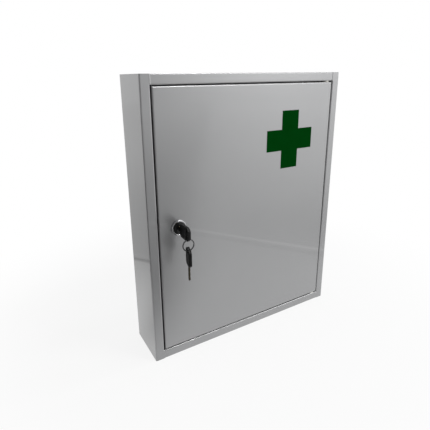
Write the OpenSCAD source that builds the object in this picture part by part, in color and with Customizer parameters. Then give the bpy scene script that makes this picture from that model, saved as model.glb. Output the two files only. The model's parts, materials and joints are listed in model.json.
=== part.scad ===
// Lockable medicine cabinet of folded sheet steel, with a flush door on two pins and a wafer cam lock.
// Millimetres. Origin: middle of the bottom face. +Z up, the door faces -Y, +X is to its right.

/* [Cabinet] */
// Width of the cabinet
body_w = 355; // [300:1:450]
// Height of the cabinet
body_h = 430; // [380:1:560]
// Depth of the cabinet
body_d = 80; // [76:1:140]
// Thickness of the steel sheet
sheet = 1; // [0.8:0.1:1.2]
// Outer radius of the folds
fold_r = 2; // [1.2:0.1:2]
// Outer radius of the sharper folds along the top and bottom front edges
edge_r = 1.2; // [1.1:0.1:2]
// Width of the upright front stiles
stile_w = 14.4; // [13:0.1:20]
// Height of the top and bottom front rails
rail_w = 14; // [12:0.1:20]
// How far the lips round the door opening reach back
lip_d = 18; // [17:0.1:18.5]
// Drop of the flanges that weld the top and bottom to the sides
flange_w = 12; // [8:1:13]

/* [Wall holes] */
// Distance across between the wall holes
wall_hole_dx = 260; // [180:1:270]
// Distance up between the wall holes
wall_hole_dz = 340; // [330:1:350]
// Diameter of each wall hole
wall_hole_d = 6; // [4:0.5:9]

/* [Shelves] */
// Height of the lower shelf
lower_shelf_z = 143; // [110:1:160]
// Height of the upper shelf
upper_shelf_z = 286; // [250:1:300]
// Distance from the cabinet front to the front of a shelf
shelf_setback = 26; // [26:0.5:34]
// Height of the lip that holds things on a shelf
shelf_lip = 12; // [6:1:25]
// Outer radius of the fold under the lip
shelf_r = 1.6; // [1.2:0.1:2]
// Height of the fold along the back of a shelf
shelf_fold = 8; // [4:1:15]
// Width of each leg of a shelf runner
runner_w = 10; // [7:0.5:16]
// How far a runner stays back from both ends of the shelf
runner_inset = 3; // [2:0.5:8]
// Play between a shelf and the side panels
shelf_play = 0.3; // [0.2:0.1:1]
// Gap between the back of a shelf and the rear flanges of the sides
shelf_back_gap = 0.6; // [0.6:0.1:1.5]

/* [Door] */
// Gap above, below and on the hinge side of the door
door_gap = 1.5; // [1.5:0.1:2.5]
// Gap on the latch side of the door
latch_gap = 2; // [1.5:0.1:3]
// Depth of the folded edges of the door
door_d = 14; // [13:0.1:15]
// Width of the return folds on the upright edges of the door
return_w = 8; // [6:0.5:10]
// Overall size of the cross
cross_size = 94; // [60:1:120]
// Width of an arm of the cross
cross_arm = 34; // [20:1:40]
// Distance from the hinge edge of the door to the centre of the cross
cross_in = 87.4; // [65:0.1:120]
// Distance from the top edge of the door to the centre of the cross
cross_down = 89.3; // [65:0.1:130]
// Thickness of the cross film
cross_t = 0.3; // [0.2:0.1:0.5]

/* [Hinges] */
// Distance from the edge of the door to the hinge axis
hinge_in = 9; // [9:0.1:12]
// Distance from the face of the door back to the hinge axis
hinge_back = 6; // [5.4:0.1:6]
// Diameter of a hinge pin
pin_d = 4; // [3:0.1:4.5]
// Radial play of a pin in its bush and in the door
pin_play = 0.05; // [0.02:0.01:0.1]
// Wall of a hinge bush
bush_wall = 1.4; // [1:0.1:1.4]
// How far the collar of a bush stands out from its body
bush_collar = 1; // [0.6:0.1:1]
// Gap between the collar of a bush and the door
collar_play = 0.3; // [0.2:0.05:0.5]
// How far a bush reaches past the lip that holds it
bush_tail = 1.5; // [1:0.1:3]
// Size of a hinge plate along the door edge
plate_w = 22; // [19:0.5:30]
// Thickness of a hinge plate
plate_t = 3; // [2:0.5:5]
// Width of a hinge plate across the door edge
plate_d = 9; // [8:0.1:9.5]
// How far a pin's head stands out all round
pin_head_rim = 1.5; // [1:0.1:1.6]
// Thickness of a pin's head
pin_head_t = 1.5; // [1:0.1:3]

/* [Door stops] */
// Height of each door stop above the bottom, or below the top, of the cabinet
stop_inset = 60; // [45:1:75]
// Height of a door stop
stop_h = 24; // [16:1:30]
// How far a door stop reaches across behind the door
stop_reach = 13; // [12:0.5:16]
// How far the foot of a door stop runs forward along the lip
stop_foot = 9; // [6:0.5:12]
// Diameter of a rubber buffer
buffer_d = 7; // [5:0.5:8]
// Gap left between a buffer and the closed door
buffer_play = 0.2; // [0.1:0.1:0.5]

/* [Lock] */
// Distance from the left side of the cabinet to the lock
lock_in = 46.2; // [44:0.1:60]
// Height of the lock above the middle of the cabinet
lock_up = 0; // [-10:1:10]
// Outer diameter of the bezel ring
bezel_d = 23; // [22.5:0.1:27]
// How far the bezel ring stands off the door
bezel_h = 3; // [2.5:0.1:4]
// Width of the bezel ring
bezel_w = 1.5; // [1:0.1:1.6]
// How deep the black face lies inside the bezel ring
face_drop = 0.4; // [0.2:0.1:0.8]
// Diameter of the threaded barrel
barrel_d = 18; // [17.5:0.1:19]
// Width across the flats of the barrel
barrel_flats = 16; // [15.5:0.1:17]
// Play of the barrel in the door and in the nut
barrel_play = 0.1; // [0.05:0.05:0.3]
// Width across the flats of the nut
nut_flats = 24; // [22:0.5:27]
// Thickness of the nut
nut_t = 5; // [4:0.5:7]
// Diameter of the turning plug
plug_d = 13; // [12.6:0.1:13.2]
// Radial play of the plug in the housing
plug_play = 0.05; // [0.02:0.01:0.1]
// How far the head of the plug stands out all round
plug_rim = 1; // [0.6:0.1:1.2]
// Depth of the plug head's seat in the housing
plug_seat = 1; // [0.6:0.1:1.4]
// How far the plug stands out of the black face
plug_proud = 0.8; // [0.4:0.1:1.2]
// Width of the square drive on the plug
drive_w = 7; // [6:0.1:8]
// Play of the square drive in the cam
drive_play = 0.05; // [0.02:0.01:0.1]
// Gap between the frame lip and the cam
cam_gap = 0.5; // [0.4:0.1:1]
// Thickness of the cam
cam_t = 2; // [1.5:0.1:2]
// Width of the cam
cam_w = 15; // [13:0.5:18]
// How far the cam reaches behind the stile when locked
cam_overlap = 8; // [5:0.5:10]
// Thickness of the cam washer
washer_t = 0.8; // [0.5:0.1:0.8]
// Diameter of the cam washer
washer_d = 10; // [9:0.5:13]
// Diameter of the cam screw
screw_d = 3.4; // [2.5:0.1:4]
// Radial play of the cam screw in its washer
screw_play = 0.1; // [0.05:0.05:0.2]
// Distance from the tip of the key to the tip of the cam screw
screw_tip_gap = 0.8; // [0.6:0.1:1.2]
// Diameter of the cam screw's head
screw_head_d = 7; // [6:0.5:8]
// Height of the cam screw's head
screw_head_h = 2.2; // [1.5:0.1:2.2]
// Length of the cross recess in the screw's head
recess_l = 4.2; // [3:0.1:4.8]
// Width of the cross recess
recess_w = 0.9; // [0.6:0.1:1.2]
// Depth of the cross recess
recess_depth = 1.1; // [0.8:0.1:1.2]

/* [Wafers] */
// Number of wafers
wafer_count = 5; // [3:1:5]
// Distance from one wafer to the next
wafer_pitch = 2.6; // [2.2:0.1:3]
// Thickness of a wafer
wafer_t = 1; // [0.6:0.1:1.1]
// Height of a wafer
wafer_h = 11; // [10.6:0.1:11]
// Width of a wafer
wafer_w = 5.6; // [5:0.1:5.8]
// Play of a wafer in its slot and round the blade
wafer_play = 0.2; // [0.1:0.05:0.3]
// Height of the ear that a spring pushes
ear_h = 1.2; // [0.8:0.1:1.4]
// Height of the ear's lower face above the lock axis
ear_up = 1.2; // [0.8:0.1:1.4]
// Diameter of a wafer spring
spring_d = 1.1; // [0.8:0.1:1.2]
// Length of a wafer spring
spring_l = 4.8; // [4:0.1:5]
// Play all round a wafer spring
spring_play = 0.1; // [0.05:0.05:0.15]

/* [Keys] */
// Length of a key's bow
bow_l = 28; // [24:0.5:34]
// Width of a key's bow
bow_w = 22; // [21:0.5:26]
// Thickness of a key's bow
bow_t = 4.5; // [3.5:0.1:5]
// Cut corner at the outer end of a bow
bow_cut_out = 5; // [3:0.1:5]
// Cut corner at the blade end of a bow
bow_cut_in = 4; // [2:0.1:6]
// Gap between the lock and the bow of the key in it
bow_gap = 4.9; // [2:0.1:6]
// Distance from the outer end of a bow to the middle of its slot
slot_in = 5; // [4.8:0.1:7]
// Width of the slot for the ring
slot_w = 3.5; // [3:0.1:4]
// Length of the slot for the ring
slot_l = 17; // [15:0.1:17.5]
// Length of a blade outside its bow
blade_l = 23; // [20:0.1:23]
// Height of a blade
blade_w = 6.5; // [6:0.1:7]
// Thickness of a blade
blade_t = 2; // [1.5:0.1:2.2]
// Length of the blade's root inside the bow
blade_root = 8; // [5:0.5:12]
// Play of the blade's root in the bow
root_play = 0.1; // [0.05:0.05:0.2]
// Width of the flat at the tip of a blade
blade_tip_w = 2; // [1:0.1:3]
// Distance from the bow to the first cut in a blade
first_cut = 3.5; // [2.5:0.1:4]
// Width of a cut at the edge of the blade
cut_w = 2.2; // [1.6:0.1:2.4]
// Width of the floor of a cut
cut_floor = 0.8; // [0.4:0.1:1]
// Depth of the cuts in a blade
cut_depth = 0.9; // [0.3:0.1:1.2]
// Outer diameter of the key ring
ring_d = 18.6; // [17:0.1:24]
// Thickness of the key ring's wire
wire_d = 1.5; // [1:0.1:1.8]
// Play between the ring and a bow
ring_play = 0.15; // [0.1:0.05:0.3]
// Turn of the spare key about the vertical, as it hangs
spare_turn = -14; // [-20:1:20]

/* [Hidden] */
$fn = 48;
over = 1;                                   // how far a cutter runs past what it cuts
inner_r = fold_r - sheet;                   // inner radius of the folds

front_y = -body_d / 2;
back_y = body_d / 2;
side_x = body_w / 2;
wrap_back_y = back_y - sheet;               // rear face of the sides, top and bottom, under the back panel
stile_x = side_x - stile_w;                 // inner edge of a stile
lip_back_y = front_y + lip_d;

door_l = -stile_x + latch_gap;
door_r = stile_x - door_gap;
door_b = rail_w + door_gap;
door_t = body_h - rail_w - door_gap;
door_back_y = front_y + door_d;

hinge_x = door_r - hinge_in;
hinge_y = front_y + hinge_back;
bush_d = pin_d + 2 * (pin_play + bush_wall);
collar_t = door_gap - collar_play;

lock_x = -side_x + lock_in;
lock_z = body_h / 2 + lock_up;
face_y = front_y - bezel_h + face_drop;     // black face of the housing
plug_front_y = face_y - plug_proud;
cam_y = lip_back_y + cam_gap;               // front of the cam, and shoulder of the plug
cam_back_y = cam_y + cam_t;
cam_l = lock_x + stile_x + cam_overlap;     // from the lock axis to the tip of the cam
key_y = plug_front_y - bow_gap;             // blade end of the bow in the lock
blade_tip_y = key_y + blade_l;
screw_tip_y = blade_tip_y + screw_tip_gap;
wafer_first_y = front_y + wafer_pitch / 2;

ring_r = (ring_d - wire_d) / 2;             // middle of the ring's wire
ring_in_r = ring_r - wire_d / 2;
ring_y = key_y - bow_l + slot_in;
// How much the inside of the ring curves away over half the thickness of a bow
function curve_off(half) = ring_in_r - sqrt(ring_in_r * ring_in_r - half * half);
ring_z = lock_z - slot_l / 2 - ring_in_r + curve_off(bow_t / 2) + ring_play;
spare_slot_z = ring_z - ring_in_r + curve_off(bow_t / 2 / cos(spare_turn)) + ring_play;
spare_z = spare_slot_z - slot_w / 2 + slot_in - bow_l;            // blade end of the spare key's bow

steel_grey = [0.66, 0.66, 0.68];
inner_grey = [0.6, 0.6, 0.62];

// ---- Shared shapes ----

// What a corner of radius r loses, for a corner at the origin that opens towards +x, +y
module corner_waste(r) {
    difference() {
        translate([-over, -over]) square(r + over);
        translate([r, r]) circle(r);
    }
}

// Rectangle from (x0, y0) to (x1, y1); radii go round from (x0, y0) by (x1, y0)
module rounded_rect(x0, y0, x1, y1, radii) {
    corners = [[x0, y0, 0, 0], [x1, y0, 1, 0], [x1, y1, 1, 1], [x0, y1, 0, 1]];
    difference() {
        translate([x0, y0]) square([x1 - x0, y1 - y0]);
        for (i = [0:3])
            if (radii[i] > 0)
                translate([corners[i][0], corners[i][1]])
                    mirror([corners[i][2], 0]) mirror([0, corners[i][3]]) corner_waste(radii[i]);
    }
}

// A cuboid from one corner to the opposite one
module block(lo, hi) {
    translate(lo) cube(hi - lo);
}

// Extrudes an outline drawn in the YZ plane along X
module along_x(x0, x1) {
    translate([x0, 0, 0]) rotate([90, 0, 90]) linear_extrude(x1 - x0) children();
}

// Turns what stands along +Z to run along +Y from y, on the lock's axis
module on_lock_axis(y) {
    translate([lock_x, y, lock_z]) rotate([-90, 0, 0]) children();
}

// ---- Carcass ----

// Section of the left side beside a rail, seen from above: rear flange, side wall and stile
module side_section() {
    difference() {
        rounded_rect(-side_x, front_y, -stile_x, wrap_back_y, [fold_r, 0, 0, fold_r]);
        rounded_rect(-side_x + sheet, front_y + sheet, -stile_x + over, wrap_back_y - sheet,
                     [inner_r, 0, 0, inner_r]);
    }
}

// The same beside the door, where the stile turns back in a lip
module side_section_with_lip() {
    difference() {
        rounded_rect(-side_x, front_y, -stile_x, wrap_back_y, [fold_r, fold_r, 0, fold_r]);
        rounded_rect(-side_x + sheet, front_y + sheet, -stile_x - sheet, wrap_back_y - sheet,
                     [inner_r, inner_r, 0, inner_r]);
        translate([-stile_x - sheet - over, lip_back_y])
            square([sheet + 2 * over, wrap_back_y - sheet - lip_back_y]);
    }
}

module side_shape() {
    for (z = [0, body_h - rail_w]) translate([0, 0, z]) linear_extrude(rail_w) side_section();
    translate([0, 0, rail_w]) linear_extrude(body_h - 2 * rail_w) side_section_with_lip();
}

module left_side() {
    color(steel_grey) side_shape();
}

module right_side() {
    color(steel_grey) mirror([1, 0, 0]) side_shape();
}

module back_panel() {
    color(steel_grey)
        difference() {
            block([-side_x + fold_r, wrap_back_y, fold_r], [side_x - fold_r, back_y, body_h - fold_r]);
            for (sx = [-1, 1], sz = [-1, 1])
                translate([sx * wall_hole_dx / 2, wrap_back_y - over, body_h / 2 + sz * wall_hole_dz / 2])
                    rotate([-90, 0, 0]) cylinder(d = wall_hole_d, h = sheet + 2 * over);
        }
}

// Section of the bottom, seen from the right: front rail with its lip, floor and rear flange
module rail_section() {
    difference() {
        rounded_rect(front_y, 0, wrap_back_y, rail_w, [edge_r, fold_r, 0, fold_r]);
        rounded_rect(front_y + sheet, sheet, wrap_back_y - sheet, rail_w - sheet,
                     [edge_r - sheet, inner_r, 0, inner_r]);
        translate([lip_back_y, rail_w - sheet - over])
            square([wrap_back_y - sheet - lip_back_y, sheet + 2 * over]);
    }
}

// The bottom with its rail, flanges and the hole for the hinge bush
module end_panel() {
    difference() {
        union() {
            along_x(-stile_x, stile_x) rail_section();
            linear_extrude(sheet)
                rounded_rect(-side_x + sheet, front_y + sheet, side_x - sheet, wrap_back_y - sheet,
                             [inner_r, inner_r, inner_r, inner_r]);
            for (s = [0, 1])
                mirror([s, 0, 0])
                    block([-side_x + sheet, lip_back_y, 0],
                          [-side_x + 2 * sheet, wrap_back_y - fold_r, flange_w]);
        }
        translate([hinge_x, hinge_y, rail_w - sheet - over]) cylinder(d = bush_d, h = sheet + 2 * over);
    }
}

module bottom_panel() {
    color(steel_grey) end_panel();
}

module top_panel() {
    color(steel_grey) translate([0, 0, body_h]) mirror([0, 0, 1]) end_panel();
}

// ---- Shelves ----

shelf_zs = [lower_shelf_z, upper_shelf_z];
shelf_y0 = front_y + shelf_setback;
shelf_y1 = wrap_back_y - sheet - shelf_back_gap;

module shelf(z) {
    translate([0, 0, z])
        along_x(-side_x + sheet + shelf_play, side_x - sheet - shelf_play)
            union() {
                difference() {
                    rounded_rect(shelf_y0, 0, shelf_y1, shelf_lip, [shelf_r, 0, 0, 0]);
                    rounded_rect(shelf_y0 + sheet, sheet, shelf_y1 + over, shelf_lip + over,
                                 [shelf_r - sheet, 0, 0, 0]);
                }
                translate([shelf_y1 - sheet, sheet - shelf_fold]) square([sheet, shelf_fold]);
            }
}

module upper_shelf() {
    color(inner_grey) shelf(upper_shelf_z);
}

module lower_shelf() {
    color(inner_grey) shelf(lower_shelf_z);
}

module runner(z) {
    y0 = shelf_y0 + runner_inset;
    y1 = shelf_y1 - sheet - runner_inset;
    block([-side_x + sheet, y0, z - runner_w], [-side_x + 2 * sheet, y1, z]);
    block([-side_x + sheet, y0, z - sheet], [-side_x + sheet + runner_w, y1, z]);
}

module left_shelf_runners() {
    color(inner_grey) for (z = shelf_zs) runner(z);
}

module right_shelf_runners() {
    color(inner_grey) mirror([1, 0, 0]) for (z = shelf_zs) runner(z);
}

// ---- Hinges ----

// Turns what is drawn for the lower hinge over to the upper one
module at_top() {
    translate([0, 0, body_h]) mirror([0, 0, 1]) children();
}

module hinge_bush() {
    bore = pin_d + 2 * pin_play;
    translate([hinge_x, hinge_y, rail_w - sheet - bush_tail])
        difference() {
            union() {
                cylinder(d = bush_d, h = bush_tail + sheet);
                translate([0, 0, bush_tail + sheet]) cylinder(d = bush_d + 2 * bush_collar, h = collar_t);
            }
            translate([0, 0, -over]) cylinder(d = bore, h = bush_tail + sheet + collar_t + 2 * over);
        }
}

module lower_hinge_bush() {
    color("ivory") hinge_bush();
}

module upper_hinge_bush() {
    color("ivory") at_top() hinge_bush();
}

module hinge_plate() {
    z0 = door_b + sheet;
    difference() {
        block([door_r - fold_r - plate_w, front_y + fold_r, z0],
              [door_r - fold_r, front_y + fold_r + plate_d, z0 + plate_t]);
        translate([hinge_x, hinge_y, z0 - over]) cylinder(d = pin_d + 2 * pin_play, h = plate_t + 2 * over);
    }
}

module lower_hinge_plate() {
    color("silver") hinge_plate();
}

module upper_hinge_plate() {
    color("silver") at_top() hinge_plate();
}

// The pin drops from inside the door through plate, door edge and bush
module hinge_pin() {
    head_z = door_b + sheet + plate_t;
    end_z = rail_w - sheet - bush_tail;
    translate([hinge_x, hinge_y, 0]) {
        translate([0, 0, end_z]) cylinder(d = pin_d, h = head_z - end_z);
        translate([0, 0, head_z]) cylinder(d = pin_d + 2 * pin_head_rim, h = pin_head_t);
    }
}

module lower_hinge_pin() {
    color("gainsboro") hinge_pin();
}

module upper_hinge_pin() {
    color("gainsboro") at_top() hinge_pin();
}

// ---- Door stops ----

stop_zs = [stop_inset, body_h - stop_inset];
buffer_x = door_l + return_w / 2;

module door_stops() {
    color(inner_grey)
        for (z = stop_zs) {
            block([-stile_x - 2 * sheet, lip_back_y - stop_foot, z - stop_h / 2],
                  [-stile_x - sheet, lip_back_y + sheet, z + stop_h / 2]);
            block([-stile_x - 2 * sheet, lip_back_y, z - stop_h / 2],
                  [-stile_x + stop_reach, lip_back_y + sheet, z + stop_h / 2]);
        }
}

module door_buffers() {
    color("dimgray")
        for (z = stop_zs)
            translate([buffer_x, door_back_y + buffer_play, z])
                rotate([-90, 0, 0]) cylinder(d = buffer_d, h = lip_back_y - door_back_y - buffer_play);
}

// ---- Door ----

// A box as wide as the door less twice the inset, with rounded upright edges and rounded front edges
module pan_block(inset, r) {
    intersection() {
        translate([0, 0, door_b + inset])
            linear_extrude(door_t - door_b - 2 * inset)
                rounded_rect(door_l + inset, front_y + inset, door_r - inset, door_back_y - inset,
                             [r, r, r, r]);
        along_x(door_l, door_r)
            rounded_rect(front_y + inset, door_b + inset, door_back_y, door_t - inset, [r, 0, 0, r]);
    }
}

module lock_hole_2d(play) {
    intersection() {
        circle(d = barrel_d + 2 * play);
        square([barrel_d + 2 * over, barrel_flats + 2 * play], center = true);
    }
}

module door_panel() {
    color(steel_grey)
        difference() {
            pan_block(0, fold_r);
            pan_block(sheet, inner_r);
            // what the return folds on the upright edges leave open
            block([door_l + return_w, door_back_y - sheet - over, door_b + sheet],
                  [door_r - return_w, door_back_y + over, door_t - sheet]);
            on_lock_axis(front_y - over)
                linear_extrude(sheet + 2 * over) lock_hole_2d(barrel_play);
            for (z = [door_b, door_t - sheet])
                translate([hinge_x, hinge_y, z - over])
                    cylinder(d = pin_d + 2 * pin_play, h = sheet + 2 * over);
        }
}

module cross_film() {
    color([0.0, 0.27, 0.1])
        translate([door_r - cross_in, front_y, door_t - cross_down])
            rotate([90, 0, 0])
                linear_extrude(cross_t) {
                    square([cross_size, cross_arm], center = true);
                    square([cross_arm, cross_size], center = true);
                }
}

// ---- Lock ----

module lock_bezel() {
    r = bezel_d / 2;
    color("gainsboro") on_lock_axis(front_y - bezel_h)
        rotate_extrude()
            rounded_rect(r - bezel_w, 0, r, bezel_h, [bezel_w / 3, bezel_w * 2 / 3, 0, 0]);
}

module lock_housing() {
    color("dimgray")
        difference() {
            union() {
                on_lock_axis(face_y) cylinder(d = bezel_d - 2 * bezel_w, h = front_y - face_y);
                on_lock_axis(front_y) linear_extrude(cam_y - plug_play - front_y) lock_hole_2d(0);
            }
            on_lock_axis(face_y - over) cylinder(d = plug_d + 2 * plug_play, h = cam_y - face_y + 2 * over);
            on_lock_axis(face_y - over)
                cylinder(d = plug_d + 2 * (plug_rim + plug_play), h = plug_seat + over);
        }
}

module lock_nut() {
    color("silver")
        difference() {
            on_lock_axis(front_y + sheet) cylinder(d = nut_flats / cos(30), h = nut_t, $fn = 6);
            on_lock_axis(front_y + sheet - over)
                cylinder(d = barrel_d + 2 * barrel_play, h = nut_t + 2 * over);
        }
}

function wafer_y(i) = wafer_first_y + i * wafer_pitch;
spring_x = wafer_w / 2 + wafer_play + spring_play + spring_d / 2;
ear_z = lock_z + ear_up;                    // lower face of an ear, and top of its spring
spring_z = ear_z - spring_l;
pocket_r = spring_d / 2 + spring_play;      // half the width of a spring's pocket

// The space round the blade, from y0 to y1
module keyway(y0, y1) {
    half_t = blade_t / 2 + wafer_play;
    half_w = blade_w / 2 + wafer_play;
    block([lock_x - half_t, y0, lock_z - half_w], [lock_x + half_t, y1, lock_z + half_w]);
}

module lock_plug() {
    slot_t = wafer_t + wafer_play;
    color([0.12, 0.12, 0.13])
        difference() {
            union() {
                on_lock_axis(plug_front_y)
                    cylinder(d = plug_d + 2 * plug_rim, h = face_y + plug_seat - plug_front_y - plug_play);
                on_lock_axis(plug_front_y) cylinder(d = plug_d, h = cam_y - plug_front_y);
                on_lock_axis(cam_y)
                    linear_extrude(cam_t - plug_play) square(drive_w, center = true);
            }
            keyway(plug_front_y - over, blade_tip_y + wafer_play);
            // wafer slots, and the spring pocket beside each
            for (i = [0:wafer_count - 1]) {
                block([lock_x - wafer_w / 2 - wafer_play, wafer_y(i) - slot_t / 2, lock_z - plug_d / 2],
                      [lock_x + wafer_w / 2 + wafer_play, wafer_y(i) + slot_t / 2, lock_z + plug_d / 2]);
                block([lock_x, wafer_y(i) - pocket_r, spring_z - spring_play],
                      [lock_x + spring_x + pocket_r, wafer_y(i) + pocket_r, ear_z + ear_h + wafer_play]);
            }
            on_lock_axis(screw_tip_y) cylinder(d = screw_d, h = cam_back_y + over - screw_tip_y);
        }
}

module lock_wafers() {
    color("goldenrod")
        for (i = [0:wafer_count - 1])
            difference() {
                union() {
                    block([lock_x - wafer_w / 2, wafer_y(i) - wafer_t / 2, lock_z - wafer_h / 2],
                          [lock_x + wafer_w / 2, wafer_y(i) + wafer_t / 2, lock_z + wafer_h / 2]);
                    // the ear that the spring pushes
                    block([lock_x, wafer_y(i) - wafer_t / 2, ear_z],
                          [lock_x + spring_x + spring_d / 2, wafer_y(i) + wafer_t / 2, ear_z + ear_h]);
                }
                keyway(wafer_y(i) - wafer_t, wafer_y(i) + wafer_t);
            }
}

module wafer_springs() {
    color("silver")
        for (i = [0:wafer_count - 1])
            translate([lock_x + spring_x, wafer_y(i), spring_z]) cylinder(d = spring_d, h = spring_l);
}

// The cam hangs down when the door is free, and turns to the left behind the stile to lock it
module lock_cam() {
    color("silver")
        on_lock_axis(cam_y)
            linear_extrude(cam_t)
                difference() {
                    union() {
                        circle(d = cam_w);
                        translate([-cam_w / 2, 0]) square([cam_w, cam_l - cam_w / 2]);
                        translate([0, cam_l - cam_w / 2]) circle(d = cam_w);
                    }
                    square(drive_w + 2 * drive_play, center = true);
                }
}

module cam_washer() {
    color("gainsboro")
        on_lock_axis(cam_back_y)
            difference() {
                cylinder(d = washer_d, h = washer_t);
                translate([0, 0, -over]) cylinder(d = screw_d + 2 * screw_play, h = washer_t + 2 * over);
            }
}

module cam_screw() {
    head_y = cam_back_y + washer_t;
    color("gainsboro")
        difference() {
            union() {
                on_lock_axis(screw_tip_y) cylinder(d = screw_d, h = head_y - screw_tip_y);
                on_lock_axis(head_y) cylinder(d = screw_head_d, h = screw_head_h);
            }
            // cross recess
            on_lock_axis(head_y + screw_head_h - recess_depth)
                linear_extrude(recess_depth + over) {
                    square([recess_l, recess_w], center = true);
                    square([recess_w, recess_l], center = true);
                }
        }
}

// ---- Keys: drawn flat, the blade towards +x, the blade end of the bow at the origin ----

module bow_outline() {
    h = bow_w / 2;
    polygon([
        [0, h - bow_cut_in], [-bow_cut_in, h], [-bow_l + bow_cut_out, h], [-bow_l, h - bow_cut_out],
        [-bow_l, -h + bow_cut_out], [-bow_l + bow_cut_out, -h], [-bow_cut_in, -h], [0, -h + bow_cut_in]
    ]);
}

module bow() {
    end = slot_l / 2 - slot_w / 2;
    difference() {
        linear_extrude(bow_t, center = true)
            difference() {
                bow_outline();
                translate([-bow_l + slot_in, 0]) {
                    square([slot_w, 2 * end], center = true);
                    for (s = [-1, 1]) translate([0, s * end]) circle(d = slot_w);
                }
            }
        // pocket for the blade's root
        translate([-blade_root - root_play, -blade_w / 2 - root_play, -blade_t / 2 - root_play])
            cube([blade_root + root_play + over, blade_w + 2 * root_play, blade_t + 2 * root_play]);
    }
}

// One cut in the upper edge of a blade, drawn from the middle of its mouth
module cut_outline() {
    polygon([
        [-cut_w / 2, over], [-cut_w / 2, 0], [-cut_floor / 2, -cut_depth],
        [cut_floor / 2, -cut_depth], [cut_w / 2, 0], [cut_w / 2, over]
    ]);
}

// The cuts alternate between the two edges, and the last ends half a step short of the point
module blade() {
    point_l = (blade_w - blade_tip_w) / 2;
    cut_step = (blade_l - point_l - first_cut) / (wafer_count - 0.5);
    linear_extrude(blade_t, center = true)
        difference() {
            polygon([
                [-blade_root, -blade_w / 2], [-blade_root, blade_w / 2],
                [blade_l - point_l, blade_w / 2], [blade_l, blade_tip_w / 2], [blade_l, -blade_tip_w / 2],
                [blade_l - point_l, -blade_w / 2]
            ]);
            for (i = [0:wafer_count - 1])
                mirror([0, i % 2]) translate([first_cut + i * cut_step, blade_w / 2]) cut_outline();
        }
}

// The key in the lock: blade towards +Y, bow upright
module in_lock() {
    translate([lock_x, key_y, lock_z]) rotate([90, 0, 90]) children();
}

// The spare key: hangs from the ring, blade down
module on_ring() {
    translate([lock_x, ring_y, spare_z]) rotate([0, 0, spare_turn]) rotate([0, 90, 0]) children();
}

module key_blade() {
    color("khaki") in_lock() blade();
}

module key_bow() {
    color([0.1, 0.1, 0.1]) in_lock() bow();
}

module key_ring() {
    color("silver")
        translate([lock_x, ring_y, ring_z]) rotate([90, 0, 0])
            rotate_extrude($fn = 96) translate([ring_r, 0]) circle(d = wire_d);
}

module spare_key_blade() {
    color("khaki") on_ring() blade();
}

module spare_key_bow() {
    color([0.1, 0.1, 0.1]) on_ring() bow();
}

left_side();
right_side();
back_panel();
top_panel();
bottom_panel();
upper_shelf();
lower_shelf();
left_shelf_runners();
right_shelf_runners();
upper_hinge_bush();
lower_hinge_bush();
door_stops();
door_buffers();
door_panel();
cross_film();
upper_hinge_plate();
lower_hinge_plate();
upper_hinge_pin();
lower_hinge_pin();
lock_bezel();
lock_housing();
lock_nut();
lock_plug();
lock_wafers();
wafer_springs();
lock_cam();
cam_washer();
cam_screw();
key_blade();
key_bow();
key_ring();
spare_key_blade();
spare_key_bow();
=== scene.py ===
import json
import math

import bmesh
import bpy
from mathutils import Matrix, Vector


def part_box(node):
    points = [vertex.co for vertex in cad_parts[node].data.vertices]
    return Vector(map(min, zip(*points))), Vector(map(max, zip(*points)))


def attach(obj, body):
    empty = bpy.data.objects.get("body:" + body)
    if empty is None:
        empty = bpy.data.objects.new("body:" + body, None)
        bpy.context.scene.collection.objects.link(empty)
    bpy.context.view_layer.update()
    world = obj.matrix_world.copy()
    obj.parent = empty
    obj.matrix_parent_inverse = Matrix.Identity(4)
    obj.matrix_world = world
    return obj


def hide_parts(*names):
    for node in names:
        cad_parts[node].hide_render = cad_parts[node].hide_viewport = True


mm = 0.001
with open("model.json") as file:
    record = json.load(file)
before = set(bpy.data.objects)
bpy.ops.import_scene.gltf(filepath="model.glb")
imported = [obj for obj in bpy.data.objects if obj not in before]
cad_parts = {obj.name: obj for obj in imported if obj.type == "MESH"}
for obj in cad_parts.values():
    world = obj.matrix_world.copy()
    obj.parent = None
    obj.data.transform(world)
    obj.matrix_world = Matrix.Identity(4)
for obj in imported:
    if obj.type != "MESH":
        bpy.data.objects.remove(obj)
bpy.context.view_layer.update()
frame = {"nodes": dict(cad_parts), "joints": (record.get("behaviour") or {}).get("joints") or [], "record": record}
nodes = frame["nodes"]
record = frame["record"]
bodyOf = {node: body for body, members in record["behaviour"]["bodies"].items() for node in members}
slotOf = {part["node"]: part["material_slot"] for part in record["subparts"]}
pivots = {joint["name"]: Vector(joint["pos_m"]) / mm for joint in frame["joints"] if "pos_m" in joint}
lockAxis = pivots["lock_turn"]  # in millimetres, like the shapes of the pieces before they are settled
hingeAxis = pivots["door_hinge"]


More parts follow.
